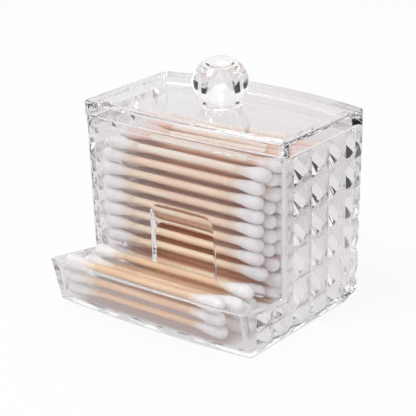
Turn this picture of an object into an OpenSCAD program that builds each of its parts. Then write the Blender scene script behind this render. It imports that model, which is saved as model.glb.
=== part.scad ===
// Clear cotton swab holder: a faceted box with a dispensing tray and a lift-off lid.
// Millimetres, +Z up, tray towards -Y, origin under the middle of the whole outline.

/* [Swabs] */
// Length of one swab over both buds
swab_l = 72; // [66:0.5:80]
// Diameter of a cotton bud at its widest
bud_d = 5; // [4.5:0.1:6.5]
// Length of a cotton bud along the stick
bud_l = 14.5; // [12:0.5:18]
// Diameter of the wooden stick
stick_d = 2.6; // [1.8:0.1:3.2]
// Gap left between a stick and the cotton wound round it
wind_gap = 0.05; // [0.02:0.01:0.1]
// Mean gap between neighbouring buds in the heap
bud_gap = 0.2; // [0.15:0.05:0.5]
// Columns of swabs from front to back
columns = 7; // [5:1:10]
// How much higher than the others the front column stands
front_lift = 3.4; // [0:0.1:5]

/* [Box] */
// Wall thickness of the box
wall = 2.5; // [1.6:0.1:3.5]
// Thickness of the floor
floor_t = 2.6; // [1.6:0.1:4]
// Room left over along the swabs, inside the box
end_room = 9.9; // [8:0.1:16]
// Gap between the last column and the back wall, at the swab ends
back_gap = 2; // [0.2:0.1:3]
// Room between the front column of swabs and the lid's lip
head_room = 3.3; // [2:0.1:6]
// How much the front wall bows out at its middle
front_bow = 1.8; // [0.5:0.1:3]
// How much the back wall bows out at its middle
back_bow = 6.4; // [2:0.1:9]
// How far each side wall leans out from floor to rim
side_draft = 1.15; // [0.4:0.05:2]
// How far the back wall leans out from floor to rim
back_lean = 3.1; // [1:0.1:5]
// Radius of the upright corners
corner_r = 1.6; // [0.8:0.1:3]
// Radius under the back wall, outside
foot_r = 7; // [3:0.5:10]
// Radius under the back wall, inside
sump_r = 2; // [1:0.1:2.2]

/* [Tray] */
// How far the tray floor reaches in front of the box
tray_reach = 19.8; // [18.5:0.1:26]
// How far its front wall leans out, up to the rim
tray_lean = 4; // [1:0.1:7]
// Height of the rim at the front of the tray
rim_front = 17.1; // [14:0.1:22]
// Height of the rim where it meets the box, and of the slot under the front wall
rim_back = 13.5; // [12:0.1:13.9]
// Wall thickness of the tray
tray_wall = 2.4; // [1.6:0.1:3.5]
// How much the tray's front wall bows out at its middle
tray_bow = 2; // [0.5:0.1:4]

/* [Finger notch] */
// Width of the notch
notch_w = 28; // [18:0.5:40]
// Height of the notch above the slot, at the inner face of the wall
notch_h = 11.3; // [7:0.1:16]
// How much higher the notch starts at the outer face
notch_rise = 7.8; // [3:0.1:12]
// Radius of the notch's upper corners
notch_r = 4; // [2:0.1:6]

/* [Facets] */
// Columns of pyramids on each side of the box
facet_cols = 4; // [2:1:7]
// Full rows of pyramids on each side of the box
facet_rows = 5; // [3:1:7]
// Height of the bottom band, with its low pyramids
facet_base = 8; // [6:0.1:11]
// How far a pyramid stands out
facet_h = 2; // [0.6:0.1:2.5]
// Plain strip between the front corner and the first pyramid
facet_margin = 4.1; // [2:0.1:8]
// Plain strip along the foot and the tray rim
facet_border = 1; // [0.5:0.1:2]

/* [Lid] */
// How far the lid stands out past the box
lid_overhang = 0.4; // [0.2:0.1:1.5]
// Height of the lid's skirt
skirt_h = 5.6; // [4:0.1:9]
// Thickness of the lid's top
plate_t = 2.2; // [1.4:0.1:3.5]
// How deep the locating lip reaches into the box
lip_depth = 3.3; // [2:0.1:4]
// Thickness of the locating lip
lip_t = 1.6; // [1:0.1:2.5]
// Clearance between the lip and the box
lip_gap = 0.3; // [0.2:0.05:0.8]

/* [Knob] */
// Diameter of the knob's ball
knob_d = 20.6; // [14:0.2:26]
// Diameter of the neck that joins the ball to the lid
neck_d = 15.6; // [9:0.1:17]
// Height of the neck
neck_h = 2.3; // [1:0.1:4]
// Height from the neck to the middle of the ball
knob_rise = 4.8; // [3:0.1:7]
// Chamfer under the ball, where it meets the neck
knob_chamfer = 1; // [0.4:0.1:1.5]
// Diameter of the core that the ball is hollowed out with from below
core_d = 10.6; // [6:0.2:13]
// Plastic over the core, at the top of the ball
core_cover = 3.8; // [2:0.1:6]
// Chamfer round the top of the core
core_chamfer = 1.2; // [0.4:0.1:2]

/* [Hidden] */

// Full layers in the heap; one loose layer lies on top of them
layers = 10;
pitch = bud_d + bud_gap;

// The box is sized by the swabs it holds
chamber_w = swab_l + end_room;
box_w = chamber_w + 2 * wall;
box_h = floor_t + layers * pitch + front_lift + head_room + lip_depth;
tip_round = 4;
back_bow_at_tips = back_bow * (1 - pow(1 - 2 * tip_round / chamber_w, 2));
chamber_d = columns * pitch + back_gap - back_bow_at_tips;
box_d = chamber_d + 2 * wall;
top_w = box_w + 2 * side_draft;
top_d = box_d + back_lean;
hollow_r = corner_r / 2;

// Everything is set out from the front wall's outer face at the corners, front_y
front_reach = tray_reach + tray_lean + tray_bow;
back_reach = top_d + lid_overhang + back_bow;
front_y = (front_reach - back_reach) / 2;
inner_y = front_y + wall;

bow_steps = 20;
round_steps = 4;
skin = 0.05;
over = 1;

facet_row_h = (box_h - facet_base) / facet_rows;
facet_pitch = (top_d - facet_margin) / facet_cols;
facet_sink = 0.6;
draft_angle = atan(side_draft / box_h);

knob_r = knob_d / 2;

// Swabs lean by the share of the mean gap that their column gives up, layer by layer
sway = 0.8 * bud_gap;
bud_span = swab_l - bud_l;
tip_gap = 0.4;
play = end_room - 2 * tip_gap;
tray_gap = 0.3;

// Outline of the box seen from above, front edge on y = 0
function outline(w, d, front, back) = concat(
  [for (i = [0:bow_steps]) let (t = 2 * i / bow_steps - 1) [t * w / 2, -front * (1 - t * t)]],
  [for (i = [0:bow_steps]) let (t = 1 - 2 * i / bow_steps) [t * w / 2, d + back * (1 - t * t)]]
);

// A repeatable number between -1 and 1 for each swab
function scatter(a, b, c) = rands(-1, 1, 1, 1000 * a + 37 * b + c)[0];

// Thin slice of an outline with rounded corners, at height z
module slice(z, w, d, front, back, r) {
  translate([0, 0, z])
    linear_extrude(skin)
      offset(r = r, $fn = 16)
        offset(delta = -r)
          polygon(outline(w, d, front, back));
}

// Closed form of the box or its hollow: leaning walls and a rounded foot at the back
module tub(w, d, h, r, foot, grow_w, grow_d, front, back) {
  hull() {
    for (i = [0:round_steps]) {
      a = 90 * i / round_steps;
      z = foot * (1 - cos(a));
      slice(z, w + grow_w * z / h, d + grow_d * z / h - foot * (1 - sin(a)), front, back, r);
    }
    slice(h - skin, w + grow_w, d + grow_d, front, back, r);
  }
}

module box_outer() {
  translate([0, front_y, 0])
    tub(box_w, box_d, box_h, corner_r, foot_r, 2 * side_draft, back_lean, front_bow, back_bow);
}

module box_hollow() {
  depth = box_h - floor_t;
  translate([0, inner_y, floor_t])
    tub(chamber_w + 2 * side_draft * floor_t / box_h, chamber_d + back_lean * floor_t / box_h,
        depth + over, hollow_r, sump_r,
        2 * side_draft * (depth + over) / box_h, back_lean * (depth + over) / box_h,
        front_bow, back_bow);
}

// Closed form of the tray or its hollow, up to a level top
module scoop(w, reach, z0, z1, r, bow) {
  steep = tray_lean / rim_front;
  hull() {
    for (z = [z0, z1])
      translate([0, front_y - reach - steep * z, 0])
        slice(z, w + 2 * side_draft * z / box_h, reach + steep * z + wall / 2, bow, 0, r);
  }
}

// Everything above the tray's rim, which rises towards the front
module above_rim(drop) {
  rise = atan((rim_front - rim_back) / (tray_reach + tray_lean));
  translate([0, front_y, rim_back - drop])
    rotate([-rise, 0, 0])
      translate([-box_w, -2 * front_reach, 0])
        cube([2 * box_w, 2 * front_reach + over, box_h]);
}

module tray_shell() {
  difference() {
    scoop(box_w, tray_reach, 0, rim_front + 2 * over, corner_r, tray_bow);
    scoop(chamber_w, tray_reach - tray_wall, floor_t, rim_front + 3 * over, hollow_r, tray_bow);
    above_rim(0);
  }
}

// Slot over the whole width under the front wall
module slot() {
  translate([-chamber_w / 2, front_y - front_bow - over, floor_t])
    cube([chamber_w, front_bow + wall + 2 * over, rim_back - floor_t]);
}

// Upright outline of the finger notch, with its top corners rounded
module notch_face(h) {
  offset(r = notch_r, $fn = 32)
    offset(delta = -notch_r)
      translate([-notch_w / 2, -2 * notch_r])
        square([notch_w, h + 2 * notch_r]);
}

// Finger notch in the front wall, its edge sloping up towards the outer face
module notch() {
  slope = notch_rise / wall;
  run = front_bow + over;
  difference() {
    hull() {
      translate([0, inner_y + over, rim_back])
        rotate([90, 0, 0])
          linear_extrude(skin) notch_face(notch_h - slope * over);
      translate([0, inner_y, rim_back])
        rotate([90, 0, 0])
          linear_extrude(skin) notch_face(notch_h);
      translate([0, front_y - run, rim_back])
        rotate([90, 0, 0])
          linear_extrude(skin) notch_face(notch_h + notch_rise * (wall + run) / wall);
    }
    translate([-notch_w, front_y - 2 * run, -rim_back])
      cube([2 * notch_w, wall + 4 * run, 2 * rim_back - over]);
  }
}

// Ridges along z, one for each pair of neighbouring lines, standing out towards +x
module ridges(lines, height) {
  last = len(lines) - 1;
  linear_extrude(height)
    polygon(concat(
      [[-facet_sink, lines[0]], [0, lines[0]]],
      [for (i = [0:last - 1]) each [[facet_h, (lines[i] + lines[i + 1]) / 2], [0, lines[i + 1]]]],
      [[-facet_sink, lines[last]]]
    ));
}

// Field of pyramids where two sets of ridges cross
module pyramids(y_lines, z_lines) {
  y_last = len(y_lines) - 1;
  z_last = len(z_lines) - 1;
  intersection() {
    ridges(y_lines, z_lines[z_last]);
    translate([0, y_lines[y_last], 0])
      rotate([90, 0, 0])
        ridges(z_lines, y_lines[y_last] - y_lines[0]);
  }
}

module box_side_facets() {
  y_lines = [for (i = [0:facet_cols]) front_y + facet_margin + i * facet_pitch];
  z_lines = concat([facet_border], [for (i = [0:facet_rows]) facet_base + i * facet_row_h]);
  intersection() {
    translate([box_w / 2, 0, 0])
      rotate([0, draft_angle, 0])
        pyramids(y_lines, z_lines);
    translate([0, front_y, 0])
      tub(2 * box_w, box_d, box_h, corner_r, foot_r, 0, back_lean, 0, 0);
  }
}

module tray_side_facets() {
  step = (tray_reach + tray_lean / 4 - 2 * facet_border) / 2;
  y_lines = [for (i = [0:2]) front_y + facet_margin / 2 - (2 - i) * step];
  z_lines = [facet_border, facet_base, 2 * facet_base];
  difference() {
    translate([box_w / 2, 0, 0])
      rotate([0, draft_angle, 0])
        pyramids(y_lines, z_lines);
    above_rim(facet_border);
  }
}

module both_sides() {
  children();
  mirror([1, 0, 0]) children();
}

module box_body() {
  color([0.93, 0.94, 0.95, 0.35])
    difference() {
      union() {
        box_outer();
        tray_shell();
        both_sides() box_side_facets();
        both_sides() tray_side_facets();
      }
      box_hollow();
      slot();
      notch();
    }
}

// Outer outline of the lid: the box's rim and the overhang
module lid_face() {
  translate([0, front_y])
    offset(r = corner_r + lid_overhang, $fn = 48)
      offset(delta = -corner_r)
        polygon(outline(top_w, top_d, front_bow, back_bow));
}

// Outline of the box's hollow where the lip ends, moved in by the given amount
module lip_face(inset) {
  share = 1 - lip_depth / box_h;
  translate([0, inner_y])
    offset(delta = -inset)
      offset(r = hollow_r, $fn = 48)
        offset(delta = -hollow_r)
          polygon(outline(chamber_w + 2 * side_draft * share, chamber_d + back_lean * share,
                          front_bow, back_bow));
}

module lid() {
  color([0.93, 0.94, 0.95, 0.35])
    translate([0, 0, box_h])
      difference() {
        union() {
          linear_extrude(skirt_h) lid_face();
          translate([0, 0, -lip_depth])
            linear_extrude(lip_depth + over) lip_face(lip_gap);
        }
        translate([0, 0, -lip_depth - over])
          linear_extrude(lip_depth + over + skirt_h - plate_t) lip_face(lip_gap + lip_t);
      }
}

// The knob is turned: a neck, a chamfer, a taper out to the ball and the ball's upper half,
// round a core that is open at its foot, on the lid
module lid_knob() {
  neck_r = neck_d / 2;
  ball_z = neck_h + knob_rise;
  core_r = core_d / 2;
  core_top = ball_z + knob_r - core_cover;
  color([0.95, 0.96, 0.97, 0.35])
    translate([0, front_y + top_d / 2, box_h + skirt_h])
      rotate_extrude($fn = 96)
        polygon(concat(
          [[core_r, 0], [neck_r, 0], [neck_r, neck_h], [neck_r + knob_chamfer, neck_h + knob_chamfer]],
          [for (a = [0:7.5:90]) [knob_r * cos(a), ball_z + knob_r * sin(a)]],
          [[0, core_top], [core_r - core_chamfer, core_top], [core_r, core_top - core_chamfer]]
        ));
}

module stick() {
  color("burlywood")
    rotate([0, 90, 0])
      cylinder(d = stick_d, h = swab_l - bud_d, center = true, $fn = 32);
}

// Half-outline of a bud: a round tip, the widest place, and a long slope down to the stick
function bud_radius(t) =
  let (tip = bud_d / 2 / bud_l, slope_from = 0.36)
  t < tip ? bud_d / 2 * sqrt(1 - pow(1 - t / tip, 2)) :
  t < slope_from ? bud_d / 2 :
  let (s = (t - slope_from) / (1 - slope_from))
  bud_d / 2 + (stick_d / 2 + 3 * wind_gap - bud_d / 2) * s * s * (3 - 2 * s) * (0.75 + 0.25 * s);

module bud() {
  color("whitesmoke")
    rotate([0, 90, 0])
      translate([0, 0, swab_l / 2 - bud_l])
        difference() {
          rotate_extrude($fn = 32)
            polygon(concat(
              [[0, 0]],
              [for (t = [1, 0.84, 0.68, 0.52, 0.36]) [bud_radius(t), bud_l * (1 - t)]],
              [for (a = [0:18:90]) [bud_d / 2 * cos(a), bud_l - bud_d / 2 * (1 - sin(a))]]
            ));
          translate([0, 0, -over])
            cylinder(d = stick_d + 2 * wind_gap, h = bud_l - bud_d / 2 + over + wind_gap, $fn = 32);
        }
}

module two_buds() {
  bud();
  mirror([1, 0, 0]) bud();
}

// Height of one end of a swab in the heap. The front column is level, and lifted from its third
// layer up; the two ends of any other column climb a little differently.
function heap_z(layer, column, end) =
  floor_t + pitch * (layer + 0.5)
    + (column == 0 ? front_lift * min(1, layer / 2) : sway * layer * scatter(1, column, end));

// Where along the box a swab lies: the front column keeps left, the top layer keeps clear of the lip
function heap_x(layer, column) =
  let (share = 0.5 + 0.5 * scatter(1580, column, layer))
  (column == 0 ? 0.5 * pow(share, 3) : 0.1 + 0.4 * share) * play - play / 2
    + (layer == layers ? lip_t : 0);

module in_heap(layer, column) {
  left = heap_z(layer, column, 1);
  right = heap_z(layer, column, 2);
  translate([heap_x(layer, column), inner_y + pitch * (column + 0.5), (left + right) / 2])
    rotate([0, -asin((right - left) / bud_span), 0])
      children();
}

// The loose top layer leaves out the first and the last column
module in_layer(number) {
  layer = number - 1;
  edge = layer == layers ? 1 : 0;
  for (column = [edge:columns - 1 - edge])
    in_heap(layer, column) children();
}

// Inner face of the tray's front wall at a height, at its ends
function tray_front(z) = front_y - tray_reach + tray_wall - tray_lean * z / rim_front;

// Swabs in the tray: two layers of three, then three loose ones. The front ones keep to the
// front wall and to the left; [share of the play to the left, columns from the box, layers up].
tray_columns = 3;
tray_rows = concat(
  [for (layer = [0, 1]) for (i = [0:tray_columns - 1])
    [i == tray_columns - 1 ? 1 : 0.5 + 0.5 * scatter(3, i, layer), i + 0.5, layer + 0.5]],
  [[1, tray_columns - 0.5, 2.5], [0.22, 2.33, 2.2], [0.54, 0.87, 2.5]]
);

function tray_place(row) =
  let (z = floor_t + pitch * row[2])
  [-row[0] * play / 2,
   row[1] == tray_columns - 0.5 ? tray_front(z) + tray_gap + bud_d / 2 : front_y - tray_gap - pitch * row[1],
   z];

module in_tray() {
  for (row = tray_rows)
    translate(tray_place(row)) children();
}

box_body();
lid();
lid_knob();
in_layer(1) stick();  // sticks_layer_01
in_layer(2) stick();  // sticks_layer_02
in_layer(3) stick();  // sticks_layer_03
in_layer(4) stick();  // sticks_layer_04
in_layer(5) stick();  // sticks_layer_05
in_layer(6) stick();  // sticks_layer_06
in_layer(7) stick();  // sticks_layer_07
in_layer(8) stick();  // sticks_layer_08
in_layer(9) stick();  // sticks_layer_09
in_layer(10) stick();  // sticks_layer_10
in_layer(11) stick();  // sticks_layer_11
in_layer(1) two_buds();  // buds_layer_01
in_layer(2) two_buds();  // buds_layer_02
in_layer(3) two_buds();  // buds_layer_03
in_layer(4) two_buds();  // buds_layer_04
in_layer(5) two_buds();  // buds_layer_05
in_layer(6) two_buds();  // buds_layer_06
in_layer(7) two_buds();  // buds_layer_07
in_layer(8) two_buds();  // buds_layer_08
in_layer(9) two_buds();  // buds_layer_09
in_layer(10) two_buds();  // buds_layer_10
in_layer(11) two_buds();  // buds_layer_11
in_tray() stick();  // tray_sticks
in_tray() two_buds();  // tray_buds
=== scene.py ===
import math

import bmesh
import bpy
import numpy as np
from mathutils import Matrix, Vector


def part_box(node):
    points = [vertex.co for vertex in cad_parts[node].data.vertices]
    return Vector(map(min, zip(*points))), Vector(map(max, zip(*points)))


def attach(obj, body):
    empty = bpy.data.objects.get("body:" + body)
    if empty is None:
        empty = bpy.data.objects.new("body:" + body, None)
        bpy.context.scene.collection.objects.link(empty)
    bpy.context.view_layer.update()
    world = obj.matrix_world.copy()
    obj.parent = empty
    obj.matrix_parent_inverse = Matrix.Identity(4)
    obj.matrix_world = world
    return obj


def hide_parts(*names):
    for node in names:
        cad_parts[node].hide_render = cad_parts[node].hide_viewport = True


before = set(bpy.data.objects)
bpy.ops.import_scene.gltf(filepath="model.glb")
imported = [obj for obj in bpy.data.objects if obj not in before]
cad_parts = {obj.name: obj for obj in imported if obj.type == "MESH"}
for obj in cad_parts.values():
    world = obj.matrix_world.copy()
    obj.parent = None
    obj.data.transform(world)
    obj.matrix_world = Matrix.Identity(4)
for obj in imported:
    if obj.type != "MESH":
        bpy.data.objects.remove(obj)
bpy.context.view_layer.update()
scene = bpy.context.scene
MM = 0.001

# The camera stands in front and to the right of the tray, a little above the lid.
# Its place is set out from the foot of the knob's axis, in the middle of the lid.
azimuth = math.radians(38.9)
elevation = math.radians(20.84)
roll = math.radians(-1.71)
camera_distance = 539.4 * MM
aim_right = -5.7 * MM
aim_height = 31.14 * MM
focal_pixels = 1490.2
photo_pixels = 416
knob_low, knob_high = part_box("lid_knob")
axis_y = (knob_low.y + knob_high.y) / 2

back = Vector((math.sin(azimuth) * math.cos(elevation),
               -math.cos(azimuth) * math.cos(elevation),
               math.sin(elevation)))
level_right = Vector((math.cos(azimuth), math.sin(azimuth), 0))
level_up = back.cross(level_right)
right = math.cos(roll) * level_right + math.sin(roll) * level_up
up = -math.sin(roll) * level_right + math.cos(roll) * level_up
camera_data = bpy.data.cameras.new("camera")
camera_data.sensor_width = 36
camera_data.lens = focal_pixels / photo_pixels * camera_data.sensor_width
camera_data.clip_start = 0.01
camera = bpy.data.objects.new("camera", camera_data)
place = level_right * aim_right + Vector((0, axis_y, aim_height)) + back * camera_distance
camera.matrix_world = Matrix.Translation(place) @ Matrix((right, up, back)).transposed().to_4x4()
scene.collection.objects.link(camera)
scene.camera = camera

# Cotton swabs: a turned wooden stick with cotton wound on both ends.
# They lie loose in the box and in the tray, each where its solid in the frame lies.
grain = bpy.data.node_groups.new("long_grain", "ShaderNodeTree")
grain.interface.new_socket("Scale", in_out="INPUT", socket_type="NodeSocketFloat")
grain.interface.new_socket("Stretch", in_out="INPUT", socket_type="NodeSocketVector")
grain.interface.new_socket("Streaks", in_out="OUTPUT", socket_type="NodeSocketFloat")
grain.interface.new_socket("Patches", in_out="OUTPUT", socket_type="NodeSocketFloat")
g_in = grain.nodes.new("NodeGroupInput")
g_out = grain.nodes.new("NodeGroupOutput")
g_place = grain.nodes.new("ShaderNodeTexCoord")
g_map = grain.nodes.new("ShaderNodeMapping")
g_fine = grain.nodes.new("ShaderNodeTexNoise")
g_fine.inputs["Detail"].default_value = 4
g_broad = grain.nodes.new("ShaderNodeTexNoise")
g_broad.inputs["Scale"].default_value = 260
grain.links.new(g_place.outputs["Object"], g_map.inputs["Vector"])
grain.links.new(g_in.outputs["Stretch"], g_map.inputs["Scale"])
grain.links.new(g_map.outputs["Vector"], g_fine.inputs["Vector"])
grain.links.new(g_in.outputs["Scale"], g_fine.inputs["Scale"])
grain.links.new(g_map.outputs["Vector"], g_broad.inputs["Vector"])
grain.links.new(g_fine.outputs["Fac"], g_out.inputs["Streaks"])
grain.links.new(g_broad.outputs["Fac"], g_out.inputs["Patches"])


def new_material(name, colour, roughness):
    material = bpy.data.materials.new(name)
    material.use_nodes = True
    shader = material.node_tree.nodes["Principled BSDF"]
    shader.inputs["Base Color"].default_value = (*colour, 1)
    shader.inputs["Roughness"].default_value = roughness
    return material, material.node_tree, shader


def ramp_mask(tree, source, low, high, most=1):
    """0 below low, most above high, or the other way round where high is the lower one."""
    mask = tree.nodes.new("ShaderNodeMapRange")
    mask.inputs["To Max"].default_value = most
    mask.inputs["From Min"].default_value = low
    mask.inputs["From Max"].default_value = high
    tree.links.new(source, mask.inputs["Value"])
    return mask.outputs["Result"]


def object_place(tree):
    """Object coordinates, whole and split into X, Y and Z."""
    spot = tree.nodes.new("ShaderNodeTexCoord").outputs["Object"]
    split = tree.nodes.new("ShaderNodeSeparateXYZ")
    tree.links.new(spot, split.inputs[0])
    return spot, split.outputs


def away_from(tree, source, middle):
    """How far a value lies from a middle one, either way."""
    off = tree.nodes.new("ShaderNodeMath")
    off.operation = "SUBTRACT"
    off.inputs[1].default_value = middle
    distance = tree.nodes.new("ShaderNodeMath")
    distance.operation = "ABSOLUTE"
    tree.links.new(source, off.inputs[0])
    tree.links.new(off.outputs[0], distance.inputs[0])
    return distance.outputs[0]


def inner_heap_shade(tree, y):
    """Where painted warm shade goes: 1 in the inner columns of the heap, 0 in its front and back ones and
    in the tray.
    """
    return ramp_mask(tree, away_from(tree, y, axis_y), 16.3 * MM, 13.5 * MM)


def toned(tree, source, share, colour, blend="MULTIPLY"):
    """Takes a colour over to another one, as far as the share says."""
    mix = tree.nodes.new("ShaderNodeMix")
    mix.data_type = "RGBA"
    mix.blend_type = blend
    mix.inputs["B"].default_value = (*colour, 1)
    tree.links.new(share, mix.inputs["Factor"])
    tree.links.new(source, mix.inputs["A"])
    return mix.outputs["Result"]


wood, tree, shader = new_material("stick_wood", (0.75, 0.55, 0.33), 0.6)
streaks = tree.nodes.new("ShaderNodeGroup")
streaks.node_tree = grain
streaks.inputs["Scale"].default_value = 900
streaks.inputs["Stretch"].default_value = (0.06, 1, 1)
tones = tree.nodes.new("ShaderNodeValToRGB")
tones.color_ramp.elements[0].position = 0.3
tones.color_ramp.elements[0].color = (0.92, 0.65, 0.49, 1)
tones.color_ramp.elements[1].position = 0.62
tones.color_ramp.elements[1].color = (0.98, 0.81, 0.62, 1)
shader.inputs["Subsurface Weight"].default_value = 0.6
shader.inputs["Subsurface Radius"].default_value = (1, 0.4, 0.3)
shader.inputs["Subsurface Scale"].default_value = 1.6 * MM
wood_bump = tree.nodes.new("ShaderNodeBump")
wood_bump.inputs["Strength"].default_value = 0.25
wood_bump.inputs["Distance"].default_value = 0.05 * MM
tree.links.new(streaks.outputs["Streaks"], tones.inputs["Fac"])
spot, place_on = object_place(tree)
# Painted shade: the sticks inside the heap are made browner than those on its outside, standing in for the
# warm light bounced between them
colour = toned(tree, tones.outputs["Color"], inner_heap_shade(tree, place_on["Y"]), (1.0, 0.83, 0.77))
# Painted shade: those in the tray are made darker again, standing in for the dimmer light low down
painted_tray_shade = ramp_mask(tree, place_on["Y"], -11 * MM, -13.5 * MM)
colour = toned(tree, colour, painted_tray_shade, (0.86, 0.80, 0.73))
# Painted light: the top of the heap is made paler, where the light from above falls strongest
painted_top_light = ramp_mask(tree, place_on["Z"], 51 * MM, 57 * MM, 0.75)
colour = toned(tree, colour, painted_top_light, (0.97, 0.89, 0.79), "MIX")
tree.links.new(colour, shader.inputs["Base Color"])
tree.links.new(streaks.outputs["Streaks"], wood_bump.inputs["Height"])
tree.links.new(wood_bump.outputs["Normal"], shader.inputs["Normal"])

cotton, tree, shader = new_material("wound_cotton", (0.90, 0.88, 0.87), 1.0)
shader.inputs["Sheen Weight"].default_value = 0.3
shader.inputs["Sheen Roughness"].default_value = 0.6
fibres = tree.nodes.new("ShaderNodeGroup")
fibres.node_tree = grain
fibres.inputs["Scale"].default_value = 1400
fibres.inputs["Stretch"].default_value = (1, 0.5, 0.5)
fibre_bump = tree.nodes.new("ShaderNodeBump")
fibre_bump.inputs["Strength"].default_value = 0.5
fibre_bump.inputs["Distance"].default_value = 0.12 * MM
cotton_tones = tree.nodes.new("ShaderNodeValToRGB")
cotton_tones.color_ramp.elements[0].position = 0.25
cotton_tones.color_ramp.elements[0].color = (0.80, 0.78, 0.77, 1)
cotton_tones.color_ramp.elements[1].position = 0.6
cotton_tones.color_ramp.elements[1].color = (0.92, 0.90, 0.89, 1)
shader.inputs["Subsurface Weight"].default_value = 0.6
shader.inputs["Subsurface Radius"].default_value = (1, 0.9, 0.85)
shader.inputs["Subsurface Scale"].default_value = 2.5 * MM
# The cotton is wound thinly over the stick at first, and the wood shows through there
how_far = tree.nodes.new("ShaderNodeAttribute")
how_far.attribute_name = "along"
cover = tree.nodes.new("ShaderNodeMapRange")
cover.interpolation_type = "SMOOTHSTEP"
cover.inputs["From Min"].default_value = 0.0
cover.inputs["From Max"].default_value = 0.5
over_wood = tree.nodes.new("ShaderNodeMix")
over_wood.data_type = "RGBA"
over_wood.inputs["A"].default_value = (0.88, 0.69, 0.53, 1)
tree.links.new(how_far.outputs["Fac"], cover.inputs["Value"])
tree.links.new(cover.outputs["Result"], over_wood.inputs["Factor"])
tree.links.new(fibres.outputs["Patches"], cotton_tones.inputs["Fac"])
tree.links.new(cotton_tones.outputs["Color"], over_wood.inputs["B"])
# Painted shade: inside the heap the cotton is tinted warm, standing in for the light bounced off the wood
# round it, but for its tips
spot, place_on = object_place(tree)
both = tree.nodes.new("ShaderNodeMath")
both.operation = "MULTIPLY"
tree.links.new(inner_heap_shade(tree, place_on["Y"]), both.inputs[0])
tree.links.new(ramp_mask(tree, how_far.outputs["Fac"], 0.9, 0.6), both.inputs[1])
colour = toned(tree, over_wood.outputs["Result"], both.outputs[0], (1.0, 0.80, 0.74))
tree.links.new(colour, shader.inputs["Base Color"])
tree.links.new(fibres.outputs["Streaks"], fibre_bump.inputs["Height"])
tree.links.new(fibre_bump.outputs["Normal"], shader.inputs["Normal"])


def loose_parts(node):
    """Vertex places of each separate solid in a CAD node, as one array a solid."""
    copy = bmesh.new()
    copy.from_mesh(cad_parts[node].data)
    bmesh.ops.remove_doubles(copy, verts=copy.verts, dist=0.001 * MM)
    left = set(copy.verts)
    parts = []
    while left:
        wave = [left.pop()]
        part = []
        while wave:
            vert = wave.pop()
            part.append(vert.co[:])
            for edge in vert.link_edges:
                other = edge.other_vert(vert)
                if other in left:
                    left.remove(other)
                    wave.append(other)
        parts.append(np.array(part))
    copy.free()
    return parts


def swab_lines(sticks_node):
    """The two ends of each stick's centre line, left end first."""
    lines = []
    for part in loose_parts(sticks_node):
        middle = (part[:, 0].min() + part[:, 0].max()) / 2
        lines.append((part[part[:, 0] < middle].mean(0), part[part[:, 0] > middle].mean(0)))
    return sorted(lines, key=lambda line: tuple(line[0].round(5)))


def swab_points(name, lines):
    """One vertex at the middle of each swab, with the turn that lays it along its line."""
    mesh = bpy.data.meshes.new(name)
    mesh.from_pydata([tuple((a + b) / 2) for a, b in lines], [], [])
    turn = mesh.attributes.new("turn", "FLOAT_VECTOR", "POINT")
    for item, (a, b) in zip(turn.data, lines):
        run = Vector(b - a)
        item.vector = Vector((1, 0, 0)).rotation_difference(run).to_euler()
    points = bpy.data.objects.new(name, mesh)
    scene.collection.objects.link(points)
    return points


def add_node(tree, kind, **values):
    node = tree.nodes.new(kind)
    for key, value in values.items():
        setattr(node, key, value)
    return node


def new_tree(name, inputs):
    tree = bpy.data.node_groups.new(name, "GeometryNodeTree")
    tree.interface.new_socket("Geometry", in_out="INPUT", socket_type="NodeSocketGeometry")
    for socket, kind in inputs:
        tree.interface.new_socket(socket, in_out="INPUT", socket_type=kind)
    tree.interface.new_socket("Geometry", in_out="OUTPUT", socket_type="NodeSocketGeometry")
    return tree, tree.nodes.new("NodeGroupInput"), tree.nodes.new("NodeGroupOutput")


FLOAT = "NodeSocketFloat"
swab_tree, s_in, s_out = new_tree("spindle_on_points", [
    ("Start", FLOAT), ("End", FLOAT), ("Radius", FLOAT), ("Ripple", FLOAT),
    ("Steps", "NodeSocketInt"), ("Sides", "NodeSocketInt"),
    ("Both ends", "NodeSocketBool"), ("Material", "NodeSocketMaterial")])
# A spindle is a line along x, swept by a circle whose size follows the profile curve
start_at = add_node(swab_tree, "ShaderNodeCombineXYZ")
end_at = add_node(swab_tree, "ShaderNodeCombineXYZ")
line = add_node(swab_tree, "GeometryNodeCurvePrimitiveLine")
resample = add_node(swab_tree, "GeometryNodeResampleCurve")
along = add_node(swab_tree, "GeometryNodeSplineParameter")
profile = add_node(swab_tree, "ShaderNodeFloatCurve")
keep_along = add_node(swab_tree, "GeometryNodeStoreNamedAttribute", data_type="FLOAT", domain="POINT")
keep_along.inputs["Name"].default_value = "along"
size = add_node(swab_tree, "ShaderNodeMath", operation="MULTIPLY")
ring = add_node(swab_tree, "GeometryNodeCurvePrimitiveCircle")
sweep = add_node(swab_tree, "GeometryNodeCurveToMesh")
sweep.inputs["Fill Caps"].default_value = True
smooth = add_node(swab_tree, "GeometryNodeSetShadeSmooth")
flip = add_node(swab_tree, "GeometryNodeTransform")
flip.inputs["Rotation"].default_value = (0, 0, math.pi)
pair = add_node(swab_tree, "GeometryNodeJoinGeometry")
choose = add_node(swab_tree, "GeometryNodeSwitch", input_type="GEOMETRY")
turn = add_node(swab_tree, "GeometryNodeInputNamedAttribute", data_type="FLOAT_VECTOR")
turn.inputs["Name"].default_value = "turn"
to_rotation = add_node(swab_tree, "FunctionNodeEulerToRotation")
scatter = add_node(swab_tree, "GeometryNodeInstanceOnPoints")
realize = add_node(swab_tree, "GeometryNodeRealizeInstances")
where = add_node(swab_tree, "GeometryNodeInputPosition")
lumps = add_node(swab_tree, "ShaderNodeTexNoise")
lumps.inputs["Scale"].default_value = 330
lumps.inputs["Detail"].default_value = 2
centred = add_node(swab_tree, "ShaderNodeVectorMath", operation="SUBTRACT")
centred.inputs[1].default_value = (0.5, 0.5, 0.5)
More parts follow.
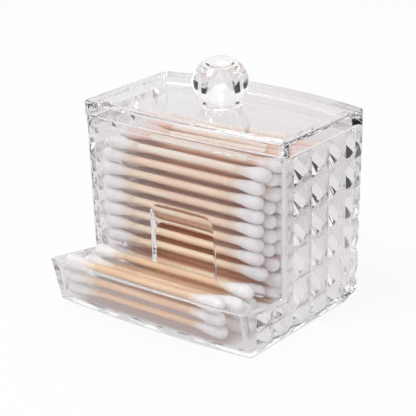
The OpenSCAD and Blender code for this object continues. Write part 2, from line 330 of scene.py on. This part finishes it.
scaled = add_node(swab_tree, "ShaderNodeVectorMath", operation="SCALE")
shift = add_node(swab_tree, "GeometryNodeSetPosition")
finish = add_node(swab_tree, "GeometryNodeSetMaterial")
link = swab_tree.links.new
link(s_in.outputs["Start"], start_at.inputs["X"])
link(s_in.outputs["End"], end_at.inputs["X"])
link(start_at.outputs[0], line.inputs["Start"])
link(end_at.outputs[0], line.inputs["End"])
link(line.outputs[0], resample.inputs["Curve"])
link(s_in.outputs["Steps"], resample.inputs["Count"])
link(resample.outputs[0], keep_along.inputs["Geometry"])
link(along.outputs["Factor"], keep_along.inputs["Value"])
link(keep_along.outputs[0], sweep.inputs["Curve"])
link(along.outputs["Factor"], profile.inputs["Value"])
link(profile.outputs[0], size.inputs[0])
link(s_in.outputs["Radius"], size.inputs[1])
link(size.outputs[0], sweep.inputs["Scale"])
link(s_in.outputs["Sides"], ring.inputs["Resolution"])
ring.inputs["Radius"].default_value = 1
link(ring.outputs[0], sweep.inputs["Profile Curve"])
link(sweep.outputs[0], smooth.inputs[0])
link(smooth.outputs[0], flip.inputs[0])
link(smooth.outputs[0], pair.inputs[0])
link(flip.outputs[0], pair.inputs[0])
link(s_in.outputs["Both ends"], choose.inputs["Switch"])
link(smooth.outputs[0], choose.inputs["False"])
link(pair.outputs[0], choose.inputs["True"])
link(s_in.outputs["Geometry"], scatter.inputs["Points"])
link(choose.outputs[0], scatter.inputs["Instance"])
link(turn.outputs[0], to_rotation.inputs[0])
link(to_rotation.outputs[0], scatter.inputs["Rotation"])
link(scatter.outputs[0], realize.inputs[0])
link(where.outputs[0], lumps.inputs["Vector"])
link(lumps.outputs["Color"], centred.inputs[0])
link(centred.outputs[0], scaled.inputs[0])
link(s_in.outputs["Ripple"], scaled.inputs["Scale"])
link(realize.outputs[0], shift.inputs["Geometry"])
link(scaled.outputs[0], shift.inputs["Offset"])
link(shift.outputs[0], finish.inputs["Geometry"])
link(s_in.outputs["Material"], finish.inputs["Material"])
link(finish.outputs[0], s_out.inputs[0])


def set_profile(tree, points):
    """Gives a tree's profile curve its points, as shares of the length and of the radius."""
    curve = next(n for n in tree.nodes if n.bl_idname == "ShaderNodeFloatCurve").mapping.curves[0]
    while len(curve.points) > 2:
        curve.points.remove(curve.points[1])
    curve.points[0].location = points[0]
    curve.points[-1].location = points[-1]
    for point in points[1:-1]:
        curve.points.new(*point)


def run_tree(obj, tree, values):
    """Puts a tree on an object, sets its inputs, and leaves a plain mesh with no modifier."""
    modifier = obj.modifiers.new(tree.name, "NODES")
    modifier.node_group = tree
    for item in tree.interface.items_tree:
        if item.item_type == "SOCKET" and item.in_out == "INPUT" and item.name in values:
            modifier[item.identifier] = values[item.name]
    bpy.context.view_layer.update()
    evaluated = obj.evaluated_get(bpy.context.evaluated_depsgraph_get())
    made = bpy.data.meshes.new_from_object(evaluated)
    made.name = obj.name
    obj.modifiers.remove(modifier)
    obj.data = made
    return obj


stick_tree = swab_tree
bud_tree = swab_tree.copy()
stick_tree.name = "stick_on_points"
bud_tree.name = "bud_on_points"
set_profile(stick_tree, [(0, 0.75), (0.012, 1), (0.5, 1), (0.988, 1), (1, 0.75)])
set_profile(bud_tree, [(0, 0.54), (0.12, 0.56), (0.4, 0.76), (0.62, 0.97), (0.75, 1), (0.86, 0.93),
                       (0.94, 0.7), (0.985, 0.36), (1, 0.06)])

first_line = swab_lines("sticks_layer_01")[0]
stick_half = np.linalg.norm(first_line[1] - first_line[0]) / 2
stick_radius = np.ptp(loose_parts("sticks_layer_01")[0][:, 1]) / 2
bud_radius = np.ptp(loose_parts("buds_layer_01")[0][:, 1]) / 2
swab_half = stick_half + bud_radius
bud_length = 14.5 * MM

heap_rows = [(f"sticks_layer_{i:02d}", f"buds_layer_{i:02d}") for i in range(1, 12)]
for sticks_node, buds_node in heap_rows + [("tray_sticks", "tray_buds")]:
    lines = swab_lines(sticks_node)
    sticks = run_tree(swab_points("turned_" + sticks_node, lines), stick_tree, {
        "Start": -stick_half, "End": stick_half, "Radius": stick_radius, "Ripple": 0.15 * MM,
        "Steps": 40, "Sides": 14, "Both ends": False, "Material": wood})
    buds = run_tree(swab_points("wound_" + buds_node, lines), bud_tree, {
        "Start": swab_half - bud_length, "End": swab_half, "Radius": bud_radius,
        "Ripple": 0.5 * MM, "Steps": 22, "Sides": 20, "Both ends": True, "Material": cotton})
    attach(sticks, "holder")
    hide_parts(sticks_node)
    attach(buds, "holder")
    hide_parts(buds_node)

# Box: one clear moulding of polystyrene, polished, with faceted sides and a tray in front.
# Its corners and rims are slightly rounded, as they leave the mould.
def clear_plastic(name, tint, ior, waviness):
    """Clear plastic that lets lamps and soft light through to what it holds."""
    material, tree, shader = new_material(name, tint, 0.0)
    shader.inputs["Transmission Weight"].default_value = 1
    shader.inputs["IOR"].default_value = ior
    ripples = tree.nodes.new("ShaderNodeTexNoise")
    ripples.inputs["Scale"].default_value = 60
    ripples.inputs["Detail"].default_value = 1
    spot = tree.nodes.new("ShaderNodeTexCoord")
    bump = tree.nodes.new("ShaderNodeBump")
    bump.inputs["Strength"].default_value = waviness
    bump.inputs["Distance"].default_value = 0.1 * MM
    tree.links.new(spot.outputs["Object"], ripples.inputs["Vector"])
    tree.links.new(ripples.outputs["Fac"], bump.inputs["Height"])
    tree.links.new(bump.outputs["Normal"], shader.inputs["Normal"])
    path = tree.nodes.new("ShaderNodeLightPath")
    either = tree.nodes.new("ShaderNodeMath")
    either.operation = "MAXIMUM"
    through = tree.nodes.new("ShaderNodeBsdfTransparent")
    through.inputs["Color"].default_value = (0.93, 0.93, 0.94, 1)
    mix = tree.nodes.new("ShaderNodeMixShader")
    out = tree.nodes["Material Output"]
    tree.links.new(path.outputs["Is Shadow Ray"], either.inputs[0])
    tree.links.new(path.outputs["Is Diffuse Ray"], either.inputs[1])
    tree.links.new(either.outputs[0], mix.inputs["Fac"])
    tree.links.new(shader.outputs["BSDF"], mix.inputs[1])
    tree.links.new(through.outputs["BSDF"], mix.inputs[2])
    tree.links.new(mix.outputs["Shader"], out.inputs["Surface"])
    return material


def shows(material, masks, colour):
    """Paints a plain colour into a clear plastic, as an emission that shows whatever light falls there, as
    far as the product of the masks.
    """
    tree = material.node_tree
    out = tree.nodes["Material Output"]
    share = masks[0]
    for mask in masks[1:]:
        both = tree.nodes.new("ShaderNodeMath")
        both.operation = "MULTIPLY"
        tree.links.new(share, both.inputs[0])
        tree.links.new(mask, both.inputs[1])
        share = both.outputs[0]
    plain = tree.nodes.new("ShaderNodeEmission")
    plain.inputs["Color"].default_value = (*colour, 1)
    mix = tree.nodes.new("ShaderNodeMixShader")
    tree.links.new(share, mix.inputs["Fac"])
    tree.links.new(out.inputs["Surface"].links[0].from_socket, mix.inputs[1])
    tree.links.new(plain.outputs["Emission"], mix.inputs[2])
    tree.links.new(mix.outputs["Shader"], out.inputs["Surface"])


def outline(width, depth, front, back, radius, bows=48, arcs=12):
    """Outline from above, front edge on y = 0: bowed front and back, straight sides, round corners."""
    half = width / 2
    corners = [(-half, 0, -front, 1), (half, 0, -front, -1),
               (half, depth, back, -1), (-half, depth, back, 1)]
    points = []
    for i, (cx, cy, bow, inward) in enumerate(corners):
        bow_way = Vector((inward, 4 * bow / width)).normalized()
        side_way = Vector((0, 1 if cy == 0 else -1))
        first, last = (side_way, bow_way) if i % 2 == 0 else (bow_way, side_way)
        centre_way = (first + last).normalized()
        half_angle = first.angle(last) / 2
        centre = Vector((cx, cy)) + centre_way * radius / math.sin(half_angle)
        start = Vector((cx, cy)) + first * radius / math.tan(half_angle) - centre
        sweep = math.pi - 2 * half_angle
        for k in range(arcs + 1):
            a = sweep * k / arcs
            points.append((centre.x + start.x * math.cos(a) - start.y * math.sin(a),
                           centre.y + start.x * math.sin(a) + start.y * math.cos(a)))
        if i % 2 == 0:
            bow_there = -front if i == 0 else back
            for k in range(2, bows - 1):
                t = 2 * k / bows - 1
                points.append((half * t if i == 0 else -half * t, cy + bow_there * (1 - t * t)))
    return points


def as_object(work, name):
    """Makes a mesh being worked on into an object of the scene."""
    mesh = bpy.data.meshes.new(name)
    work.to_mesh(mesh)
    work.free()
    solid = bpy.data.objects.new(name, mesh)
    scene.collection.objects.link(solid)
    return solid


def loft(name, rings):
    """Closed solid through outlines at rising heights; each ring is (z, points)."""
    work = bmesh.new()
    loops = [[work.verts.new((x, y, z)) for x, y in points] for z, points in rings]
    count = len(loops[0])
    for low, high in zip(loops, loops[1:]):
        for k in range(count):
            work.faces.new((low[k], low[(k + 1) % count], high[(k + 1) % count], high[k]))
    work.faces.new(list(reversed(loops[0])))
    work.faces.new(loops[-1])
    return as_object(work, name)


def moved(points, dy):
    return [(x, y + dy) for x, y in points]


def combine(solid, operation, *others):
    """Joins, cuts or keeps what two solids share, and drops the others."""
    for other in others:
        step = solid.modifiers.new("step", "BOOLEAN")
        step.operation = operation
        step.solver = "MANIFOLD"
        step.object = other
        bpy.context.view_layer.update()
        made = bpy.data.meshes.new_from_object(solid.evaluated_get(bpy.context.evaluated_depsgraph_get()))
        solid.modifiers.clear()
        solid.data = made
        bpy.data.objects.remove(other)
    return solid


def tub(name, width, depth, height, radius, foot, grow_w, grow_d, front, back, front_y, z0):
    """Box form or hollow: leaning walls, bowed front and back, a round foot at the back."""
    rings = []
    steps = 12
    for i in range(steps + 1):
        a = math.pi / 2 * i / steps
        z = foot * (1 - math.cos(a))
        rings.append((z0 + z, moved(outline(width + grow_w * z / height,
                                            depth + grow_d * z / height - foot * (1 - math.sin(a)),
                                            front, back, radius), front_y)))
    top = outline(width + grow_w, depth + grow_d, front, back, radius)
    rings.append((z0 + height, moved(top, front_y)))
    return loft(name, rings)


def block(name, x0, x1, y0, y1, z0, z1):
    return loft(name, [(z, [(x0, y0), (x1, y0), (x1, y1), (x0, y1)]) for z in (z0, z1)])


wall = 2.5
floor_t = 2.6
chamber_w = 81.9
chamber_d = 37.211
box_w = chamber_w + 2 * wall
box_d = chamber_d + 2 * wall
box_h = 64.6
side_draft = 1.15
back_lean = 3.1
front_bow = 1.8
back_bow = 6.4
corner_r = 1.6
foot_r = 7
hollow_foot_r = 2
front_y = axis_y / MM - (box_d + back_lean) / 2
inner_y = front_y + wall
tray_reach = 19.8
tray_lean = 4
tray_wall = 2.4
tray_bow = 2
whole_tray = 25.8
rim_front = 17.1
rim_back = 13.5
notch_w = 28
notch_h = 11.3
notch_rise = 7.8
notch_r = 4
facet_h = 2.0
facet_base = 8
facet_margin = 4.1
facet_border = 1
facet_cols = 4
facet_rows = 5


def spread(low, high, front, back_y, z0, z1, radius, bow):
    """Tray form or hollow: its front leans out from z0 to z1, and its back stays at back_y."""
    rings = []
    for z in (z0, z1):
        reach = tray_lean / rim_front * z
        y0 = front - reach
        width = low + (high - low) * z / z1
        rings.append((z, moved(outline(width, back_y - y0, bow, 0, radius), y0)))
    return loft("tray_form", rings)


def pyramids(side, y_lines, z_lines, sink=0.6):
    """Field of pyramids on a side of the box, one on each cell between the lines."""
    work = bmesh.new()
    tilt = math.atan(side_draft / box_h)

    def point(out, y, z):
        x = box_w / 2 + out * math.cos(tilt) + z * math.sin(tilt)
        return work.verts.new((side * x, y, z * math.cos(tilt) - out * math.sin(tilt)))

    grid = [[point(0, y, z) for z in z_lines] for y in y_lines]
    tops = [[point(facet_h, (y0 + y1) / 2, (z0 + z1) / 2) for z0, z1 in zip(z_lines, z_lines[1:])]
            for y0, y1 in zip(y_lines, y_lines[1:])]
    deep = [[point(-sink, y, z) for z in z_lines] for y in y_lines]
    for i, row in enumerate(tops):
        for k, top in enumerate(row):
            ring = [grid[i][k], grid[i + 1][k], grid[i + 1][k + 1], grid[i][k + 1]]
            for n in range(4):
                work.faces.new((ring[n], ring[(n + 1) % 4], top))
            work.faces.new((deep[i][k], deep[i][k + 1], deep[i + 1][k + 1], deep[i + 1][k]))
    last_y, last_z = len(y_lines) - 1, len(z_lines) - 1
    for i in range(last_y):
        work.faces.new((grid[i][0], deep[i][0], deep[i + 1][0], grid[i + 1][0]))
        work.faces.new((grid[i][last_z], grid[i + 1][last_z], deep[i + 1][last_z], deep[i][last_z]))
    for k in range(last_z):
        work.faces.new((grid[0][k], grid[0][k + 1], deep[0][k + 1], deep[0][k]))
        work.faces.new((grid[last_y][k], deep[last_y][k], deep[last_y][k + 1], grid[last_y][k + 1]))
    bmesh.ops.recalc_face_normals(work, faces=work.faces)
    return as_object(work, "pyramids")


def above_rim(drop):
    """Everything over the tray's rim, which rises towards the front."""
    rise = math.atan((rim_front - rim_back) / (tray_reach + tray_lean))
    cut = block("above_rim", -box_w, box_w, -2 * whole_tray, 1, 0, box_h)
    turn = (Matrix.Translation((0, front_y, rim_back - drop)) @ Matrix.Rotation(-rise, 4, "X"))
    cut.data.transform(turn)
    return cut


def notch_form():
    """The notch, cut straight through the front wall, with its top edge sloping up outwards."""
    def face(height, y):
        half = notch_w / 2
        low = -2 * notch_r
        points = [(-half, low), (half, low)]
        for cx, start in ((half - notch_r, 0), (-half + notch_r, math.pi / 2)):
            for k in range(9):
                a = start + math.pi / 2 * k / 8
                points.append((cx + notch_r * math.cos(a), height - notch_r + notch_r * math.sin(a)))
        return [(x, y, rim_back + z) for x, z in points]

    slope = notch_rise / wall
    run = front_bow + 1
    work = bmesh.new()
    loops = [[work.verts.new(p) for p in face(h, y)] for h, y in (
        (notch_h - slope, inner_y + 1), (notch_h + notch_rise * (wall + run) / wall, front_y - run))]
    count = len(loops[0])
    for k in range(count):
        work.faces.new((loops[0][k], loops[0][(k + 1) % count], loops[1][(k + 1) % count], loops[1][k]))
    work.faces.new(loops[0])
    work.faces.new(list(reversed(loops[1])))
    bmesh.ops.recalc_face_normals(work, faces=work.faces)
    solid = as_object(work, "notch")
    below = block("below", -notch_w, notch_w, front_y - 20, inner_y + 20, -60, rim_back - 1)
    return combine(solid, "DIFFERENCE", below)


def finished(solid, name, radius, below, material):
    """Rounds the sharp edges up to a height, turns millimetres into metres, gives the plastic."""
    work = bmesh.new()
    work.from_mesh(solid.data)
    bmesh.ops.remove_doubles(work, verts=work.verts, dist=0.01)
    bmesh.ops.dissolve_limit(work, angle_limit=math.radians(0.05), verts=work.verts, edges=work.edges)
    edges = [edge for edge in work.edges if edge.calc_face_angle(0) > math.radians(40)
             and max(vert.co.z for vert in edge.verts) < below]
    if edges:
        bmesh.ops.bevel(work, geom=edges, offset=radius, segments=3, profile=0.5, affect="EDGES")
    made = bpy.data.meshes.new(name)
    work.to_mesh(made)
    work.free()
    bpy.data.objects.remove(solid)
    made.transform(Matrix.Scale(MM, 4))
    made.materials.clear()
    made.materials.append(material)
    made.shade_flat()
    piece = bpy.data.objects.new(name, made)
    scene.collection.objects.link(piece)
    return piece


box_plastic = clear_plastic("box_plastic", (0.96, 0.948, 0.952), 1.57, 0.15)
lid_plastic = box_plastic.copy()
lid_plastic.name = "lid_plastic"
# Painted shade: in the upper rows, where rays have bounced many times between the facets, a plain dark
# colour is mixed in, standing in for light caught there that leaves by the rim
tree = box_plastic.node_tree
caught = tree.nodes.new("ShaderNodeLightPath").outputs["Glossy Depth"]
spot, place_on = object_place(tree)
shows(box_plastic, [ramp_mask(tree, caught, 6, 8),
                    ramp_mask(tree, place_on["Z"], 47 * MM, 53 * MM)], (0.05, 0.05, 0.06))
# Painted reflection: a soft pale haze is shown to the camera over the left ends of the swabs, in the front
# wall
straight = tree.nodes.new("ShaderNodeLightPath").outputs["Is Camera Ray"]
shows(box_plastic, [straight, ramp_mask(tree, place_on["X"], -33.5 * MM, -37 * MM, 0.4),
                    ramp_mask(tree, place_on["X"], -42.6 * MM, -41.8 * MM),
                    ramp_mask(tree, place_on["Y"], -10 * MM, -11 * MM),
                    ramp_mask(tree, place_on["Z"], 17 * MM, 20 * MM)], (0.76, 0.74, 0.75))
# Painted highlight and shade: the thick floor's edge shows the camera a streaky white band with a grey line
# over it, standing in for the light it gathers there
stretched = tree.nodes.new("ShaderNodeMapping")
stretched.inputs["Scale"].default_value = (1, 1, 5)
streak = tree.nodes.new("ShaderNodeTexNoise")
streak.inputs["Scale"].default_value = 130
streak.inputs["Detail"].default_value = 3
tree.links.new(spot, stretched.inputs["Vector"])
tree.links.new(stretched.outputs["Vector"], streak.inputs["Vector"])
shows(box_plastic, [straight, ramp_mask(tree, streak.outputs["Fac"], 0.48, 0.52),
                    ramp_mask(tree, place_on["Z"], 2.3 * MM, 2.0 * MM),
                    ramp_mask(tree, place_on["Z"], 0.5 * MM, 0.8 * MM)], (0.98, 0.97, 0.97))
shows(box_plastic, [straight, ramp_mask(tree, streak.outputs["Fac"], 0.56, 0.48, 0.8),
                    ramp_mask(tree, place_on["Z"], 3.3 * MM, 3.1 * MM),
                    ramp_mask(tree, place_on["Z"], 2.4 * MM, 2.6 * MM)], (0.22, 0.21, 0.25))
# Painted reflection: the lower facets on the right are shown a little pale to the camera, standing in for
# the pale ground they mirror
shows(box_plastic, [straight, ramp_mask(tree, place_on["X"], 42.5 * MM, 43 * MM, 0.35),
                    ramp_mask(tree, place_on["Y"], -15.5 * MM, -13.5 * MM),
                    ramp_mask(tree, place_on["Z"], 42 * MM, 24 * MM),
                    ramp_mask(tree, place_on["Z"], 3 * MM, 6 * MM)], (0.86, 0.83, 0.84))
# Painted reflection and shade: the tray's floor is given the brown of the swabs over it, standing in for
# their reflection and shadow in it
shows(box_plastic, [ramp_mask(tree, place_on["X"], -36 * MM, -30 * MM, 0.75),
                    ramp_mask(tree, place_on["X"], 36 * MM, 30 * MM),
                    ramp_mask(tree, place_on["Y"], -11 * MM, -13 * MM),
                    ramp_mask(tree, place_on["Y"], -33.5 * MM, -31 * MM),
                    ramp_mask(tree, place_on["Z"], 3.0 * MM, 2.8 * MM),
                    ramp_mask(tree, place_on["Z"], 2.3 * MM, 2.5 * MM)], (0.33, 0.235, 0.215))
body = tub("box_form", box_w, box_d, box_h, corner_r, foot_r, 2 * side_draft, back_lean,
           front_bow, back_bow, front_y, 0)
tray_high = box_w + 2 * side_draft * (rim_front + 2) / box_h
tray = spread(box_w, tray_high, front_y - tray_reach, front_y + wall / 2, 0, rim_front + 2,
              corner_r, tray_bow)
tray_hollow = spread(chamber_w + 2 * side_draft * floor_t / box_h,
                     tray_high - 2 * wall, front_y - tray_reach + tray_wall, front_y + wall / 2 - 0.01,
                     floor_t, rim_front + 3, corner_r / 2, tray_bow)
tray = combine(tray, "DIFFERENCE", tray_hollow, above_rim(0))
body = combine(body, "UNION", tray)
facet_row_h = (box_h - facet_base) / facet_rows
facet_pitch = (box_d + back_lean - facet_margin) / facet_cols
tray_step = (tray_reach + tray_lean / 4 - 2 * facet_border) / 2
for side in (1, -1):
    field = pyramids(side, [front_y + facet_margin + i * facet_pitch for i in range(facet_cols + 1)],
                     [facet_border] + [facet_base + i * facet_row_h for i in range(facet_rows + 1)])
    within = tub("within", 2 * box_w, box_d, box_h, corner_r, foot_r, 0, back_lean,
                 0.001, 0.001, front_y, 0)
    field = combine(field, "INTERSECT", within)
    body = combine(body, "UNION", field)
    field = pyramids(side, [front_y + facet_margin / 2 - (2 - i) * tray_step for i in range(3)],
                     [facet_border, facet_base, 2 * facet_base])
    body = combine(body, "UNION", combine(field, "DIFFERENCE", above_rim(facet_border)))
depth = box_h - floor_t + 1
hollow = tub("hollow_form", chamber_w + 2 * side_draft * floor_t / box_h,
             chamber_d + back_lean * floor_t / box_h, depth, corner_r / 2, hollow_foot_r,
             2 * side_draft * depth / box_h, back_lean * depth / box_h,
             front_bow, back_bow, inner_y, floor_t)
slot = block("slot", -chamber_w / 2, chamber_w / 2, front_y - front_bow - 1, inner_y + 1, floor_t, rim_back)
body = combine(body, "DIFFERENCE", hollow, slot, notch_form())
box = finished(body, "clear_box", 0.3, box_h - 0.5, box_plastic)
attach(box, "holder")
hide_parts("box_body")

# Lid: a second clear moulding that drops into the box by its lip and lifts straight off.
# It is polished like the box, and its top edge is slightly rounded.
lid_overhang = 0.4
skirt_h = 5.6
plate_t = 2.2
lip_depth = 3.3
lip_t = 1.6
lip_gap = 0.3
lid_seat = 0.04
edge = 0.5


def lid_ring(z, inset):
    width = box_w + 2 * side_draft + 2 * (lid_overhang - inset)
    depth = box_d + back_lean + 2 * (lid_overhang - inset)
    return z, moved(outline(width, depth, front_bow, back_bow, corner_r + lid_overhang - inset),
                    front_y - lid_overhang + inset)


def lip_ring(z, inset, radius):
    share = 1 - lip_depth / box_h
    return z, moved(outline(chamber_w + 2 * side_draft * share - 2 * inset,
                            chamber_d + back_lean * share - 2 * inset, front_bow, back_bow, radius),
                    inner_y + inset)


plate = loft("lid_form", [lid_ring(box_h + lid_seat, 0.25), lid_ring(box_h + 0.12, 0.08),
                          lid_ring(box_h + 0.3, 0)]
             + [lid_ring(box_h + skirt_h - edge * (1 - math.sin(a)), edge * (1 - math.cos(a)))
                for a in (0, math.pi / 8, math.pi / 4, 3 * math.pi / 8, math.pi / 2)])
lip = loft("lip_form", [lip_ring(box_h - lip_depth, lip_gap, 0.5), lip_ring(box_h + 1, lip_gap, 0.5)])
lid_hollow = loft("lid_hollow", [lip_ring(box_h - lip_depth - 1, lip_gap + lip_t, 0.4),
                                 lip_ring(box_h + skirt_h - plate_t, lip_gap + lip_t, 0.4)])
lid = finished(combine(combine(plate, "UNION", lip), "DIFFERENCE", lid_hollow),
               "clear_lid", 0, 0, lid_plastic)
# Dark specks are mixed into the plastic at the lid's corners, shown to the camera only
tree = lid_plastic.node_tree
spot, place_on = object_place(tree)
straight = tree.nodes.new("ShaderNodeLightPath").outputs["Is Camera Ray"]
corner_specks = tree.nodes.new("ShaderNodeTexVoronoi")
corner_specks.inputs["Scale"].default_value = 800
tree.links.new(spot, corner_specks.inputs["Vector"])
shows(lid_plastic, [straight, ramp_mask(tree, corner_specks.outputs["Distance"], 0.32, 0.22),
                    ramp_mask(tree, away_from(tree, place_on["X"], 0), 43.2 * MM, 43.8 * MM),
                    ramp_mask(tree, away_from(tree, place_on["Y"], axis_y), 20.4 * MM, 21 * MM)],
      (0.06, 0.06, 0.07))
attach(lid, "lid")
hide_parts("lid")

# Knob: a clear ball with a hollow core, moulded with a short neck and bonded to the lid.
# It is polished inside and out, so the ball bends what is seen beside the core.
knob_plastic = clear_plastic("knob_plastic", (0.96, 0.955, 0.955), 1.5, 0.0)
knob_r = 10.3
neck_r = 7.8
ball_z = 7.08
core_r = 5.3
core_top = ball_z + knob_r - 3.8
core_round = 1.2
knob_seat = 0.02
ball_arc = [math.pi / 2 * i / 40 for i in range(40)]
core_arc = [math.pi / 2 * i / 12 for i in range(13)]
outside = [(neck_r, 0), (neck_r, 2.2), (neck_r + 0.1, 2.4), (neck_r + 0.9, 3.2), (neck_r + 1.1, 3.45)]
outside += [(knob_r * math.cos(a), ball_z + knob_r * math.sin(a)) for a in ball_arc]
inside = [(core_r, 0)]
inside += [(core_r - core_round * (1 - math.cos(a)), core_top - core_round * (1 - math.sin(a)))
           for a in core_arc]
work = bmesh.new()
sides = 128


def turned(profile, tip):
    """Rings of a surface turned about the knob's axis, closed at its tip."""
    turns = [2 * math.pi * k / sides for k in range(sides)]
    loops = [[work.verts.new((r * math.cos(a), r * math.sin(a), z)) for a in turns] for r, z in profile]
    top = work.verts.new((0, 0, tip))
    for low, high in zip(loops, loops[1:]):
        for k in range(sides):
            work.faces.new((low[k], low[(k + 1) % sides], high[(k + 1) % sides], high[k]))
    for k in range(sides):
        work.faces.new((loops[-1][k], loops[-1][(k + 1) % sides], top))
    return loops[0]


outer_foot = turned(outside, ball_z + knob_r)
inner_foot = turned(inside, core_top)
for k in range(sides):
    work.faces.new((outer_foot[k], inner_foot[k], inner_foot[(k + 1) % sides], outer_foot[(k + 1) % sides]))
bmesh.ops.recalc_face_normals(work, faces=work.faces)
knob_mesh = bpy.data.meshes.new("ball_knob")
work.to_mesh(knob_mesh)
work.free()
knob_mesh.transform(Matrix.Translation((0, axis_y, (box_h + skirt_h + knob_seat) * MM))
                    @ Matrix.Scale(MM, 4))
knob_mesh.materials.append(knob_plastic)
knob_mesh.shade_smooth()
knob_mesh.set_sharp_from_angle(angle=math.radians(50))
knob = bpy.data.objects.new("ball_knob", knob_mesh)
scene.collection.objects.link(knob)
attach(knob, "lid")
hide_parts("lid_knob")

# Floor: a plain pale sheet that takes the holder's soft shadow.
# It shows as white to the camera and through the plastic, with no more light on the holder.
def shown_white(tree, to_camera, through_glass):
    """How far a ray sees plain white: one share for camera rays, one for glossy and transmission rays."""
    path = tree.nodes.new("ShaderNodeLightPath")
    seen = None
    for ray, share in (("Is Camera Ray", to_camera), ("Is Glossy Ray", through_glass),
                       ("Is Transmission Ray", through_glass)):
        part = tree.nodes.new("ShaderNodeMath")
        part.operation = "MULTIPLY"
        part.inputs[1].default_value = share
        tree.links.new(path.outputs[ray], part.inputs[0])
        if seen:
            most = tree.nodes.new("ShaderNodeMath")
            most.operation = "MAXIMUM"
            tree.links.new(seen, most.inputs[0])
            tree.links.new(part.outputs[0], most.inputs[1])
            part = most
        seen = part.outputs[0]
    return seen


floor_mesh = bpy.data.meshes.new("floor")
reach = 3.0
floor_mesh.from_pydata([(-reach, -reach, 0), (reach, -reach, 0), (reach, reach, 0), (-reach, reach, 0)],
                       [], [(0, 1, 2, 3)])
floor = bpy.data.objects.new("floor", floor_mesh)
scene.collection.objects.link(floor)
floor_paint, tree, shader = new_material("floor_paint", (0.97, 0.97, 0.97), 0.9)
paint = tree.nodes.new("ShaderNodeMix")
paint.data_type = "RGBA"
paint.inputs["A"].default_value = (0.66, 0.64, 0.65, 1)
paint.inputs["B"].default_value = (0.97, 0.97, 0.97, 1)
tree.links.new(tree.nodes.new("ShaderNodeLightPath").outputs["Is Camera Ray"], paint.inputs["Factor"])
tree.links.new(paint.outputs["Result"], shader.inputs["Base Color"])
shader.inputs["Specular IOR Level"].default_value = 0.2
white = tree.nodes.new("ShaderNodeEmission")
floor_mix = tree.nodes.new("ShaderNodeMixShader")
tree.links.new(shown_white(tree, 0.85, 0.5), floor_mix.inputs["Fac"])
tree.links.new(shader.outputs["BSDF"], floor_mix.inputs[1])
tree.links.new(white.outputs["Emission"], floor_mix.inputs[2])
tree.links.new(floor_mix.outputs["Shader"], tree.nodes["Material Output"].inputs["Surface"])
floor_mesh.materials.append(floor_paint)

# Flags: two low dark cards that stand behind the holder on the left and the right.
# Only mirrored and bent rays meet them, so the knob's flanks come out dark, and no light is lost.
flag_cloth, tree, shader = new_material("flag_cloth", (0.012, 0.012, 0.02), 1.0)
shader.inputs["Specular IOR Level"].default_value = 0
flag_distance = 0.24
flag_height = 0.1
for name, first, last in (("flag_right", 36, 93), ("flag_left", 166, 224)):
    turns = [math.radians(first + (last - first) * i / 24) for i in range(25)]
    foot = [(flag_distance * math.cos(a), axis_y + flag_distance * math.sin(a), 0.001) for a in turns]
    rim = [(x, y, flag_height) for x, y, z in foot]
    flag_mesh = bpy.data.meshes.new(name)
    flag_mesh.from_pydata(foot + rim, [], [(i, i + 1, i + 26, i + 25) for i in range(24)])
    flag_mesh.materials.append(flag_cloth)
    flag = bpy.data.objects.new(name, flag_mesh)
    scene.collection.objects.link(flag)
    flag.visible_camera = False
    flag.visible_diffuse = False
    flag.visible_shadow = False

# Light: a broad soft lamp to the left, weaker ones to the right and overhead, and a pale room.
# The room is a little darker towards the top, so the polished walls show soft shades.
def soft_lamp(name, where, target, size, watts):
    data = bpy.data.lights.new(name, "AREA")
    data.shape = "DISK"
    data.size = size
    data.energy = watts
    lamp = bpy.data.objects.new(name, data)
    lamp.location = where
    lamp.rotation_euler = (Vector(target) - Vector(where)).to_track_quat("-Z", "Y").to_euler()
    scene.collection.objects.link(lamp)
    return lamp


soft_lamp("key", (-0.5, -0.7, 1.1), (0, 0, 0.03), 0.7, 7)
soft_lamp("fill", (0.9, -0.9, 0.35), (0, 0, 0.03), 0.8, 4)
soft_lamp("top", (0, 0.4, 1.3), (0, 0, 0.03), 0.9, 4)
world = bpy.data.worlds.new("room")
scene.world = world
world.use_nodes = True
wt = world.node_tree
background = wt.nodes["Background"]
background.inputs["Strength"].default_value = 1
sky_place = wt.nodes.new("ShaderNodeTexCoord")
sky_split = wt.nodes.new("ShaderNodeSeparateXYZ")
sky_tones = wt.nodes.new("ShaderNodeValToRGB")
sky_tones.color_ramp.elements[0].position = 0.0
sky_tones.color_ramp.elements[0].color = (0.7, 0.7, 0.71, 1)
sky_tones.color_ramp.elements[1].position = 1.0
sky_tones.color_ramp.elements[1].color = (0.35, 0.35, 0.36, 1)
room_mix = wt.nodes.new("ShaderNodeMix")
room_mix.data_type = "RGBA"
room_mix.inputs["B"].default_value = (1, 1, 1, 1)
wt.links.new(sky_place.outputs["Generated"], sky_split.inputs[0])
wt.links.new(sky_split.outputs["Z"], sky_tones.inputs["Fac"])
wt.links.new(sky_tones.outputs["Color"], room_mix.inputs["A"])
wt.links.new(shown_white(wt, 1, 0.93), room_mix.inputs["Factor"])
wt.links.new(room_mix.outputs["Result"], background.inputs["Color"])

scene.view_settings.view_transform = "Standard"
scene.cycles.max_bounces = 64
scene.cycles.transmission_bounces = 40
scene.cycles.glossy_bounces = 48
scene.cycles.diffuse_bounces = 4
scene.cycles.transparent_max_bounces = 24
